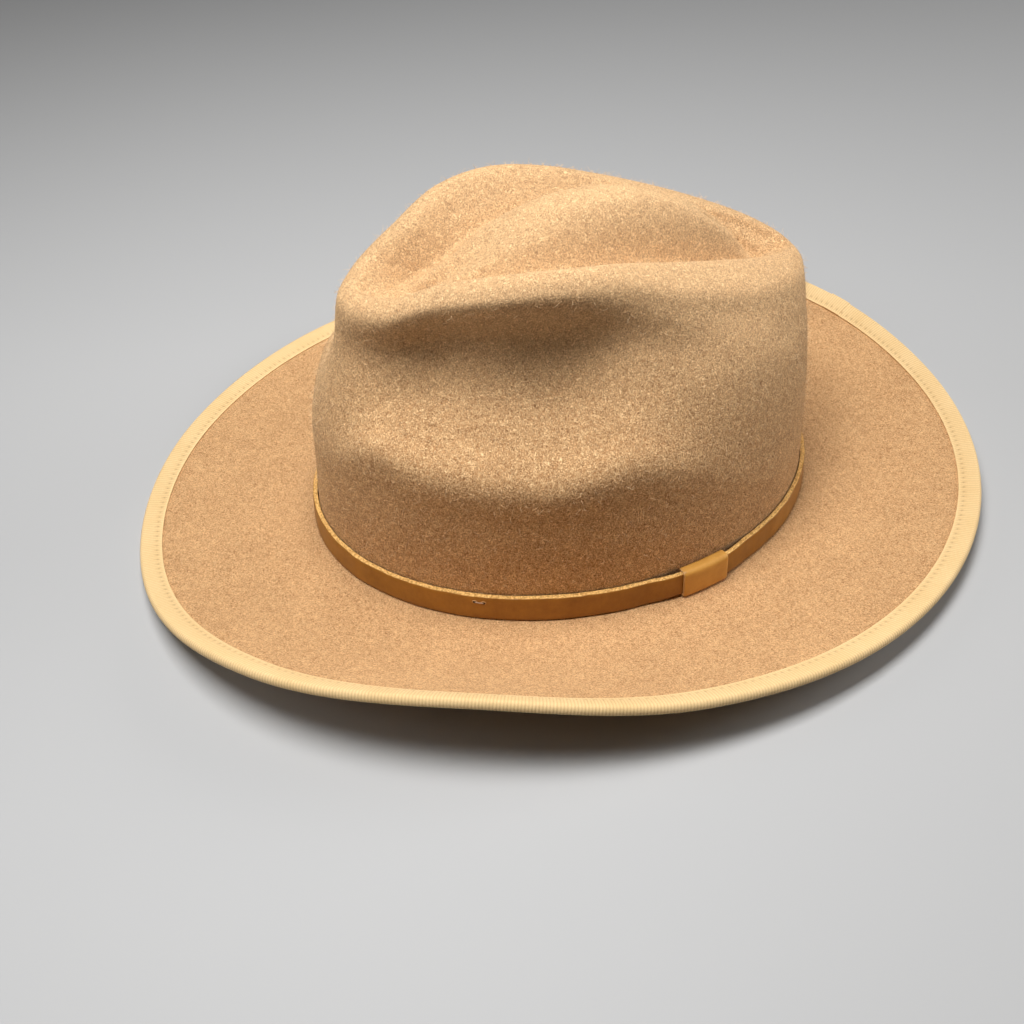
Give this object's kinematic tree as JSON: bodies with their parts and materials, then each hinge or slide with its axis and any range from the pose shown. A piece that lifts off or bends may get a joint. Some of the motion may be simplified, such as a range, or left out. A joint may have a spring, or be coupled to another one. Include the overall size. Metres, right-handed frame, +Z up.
{
  "type": "wide-brimmed wool felt hat",
  "caption": "Wool felt hat with a teardrop crease, pinched sides, a curled ribbon-bound brim and a slim leather band held by a leather sleeve.",
  "frame": {"origin": "on the surface that the hat stands on, below the middle of its outline", "axes": "+Z up through the crown, -Y to the front of the hat, +X to its wearer's left"},
  "size_m": [0.2896, 0.3502, 0.128],
  "materials": {
    "wool_felt": "soft napped wool felt, warm brown",
    "ribbon": "fine ribbed ribbon, pale gold, stitched near its inner edge",
    "brown_leather": "smooth caramel leather with a pale raw edge",
    "tan_leather": "smooth light tan leather, satin"
  },
  "bodies": {
    "root": {"felt_body": "wool_felt", "brim_binding": "ribbon", "leather_band": "brown_leather", "band_keeper": "tan_leather"}
  },
  "joints": []
}
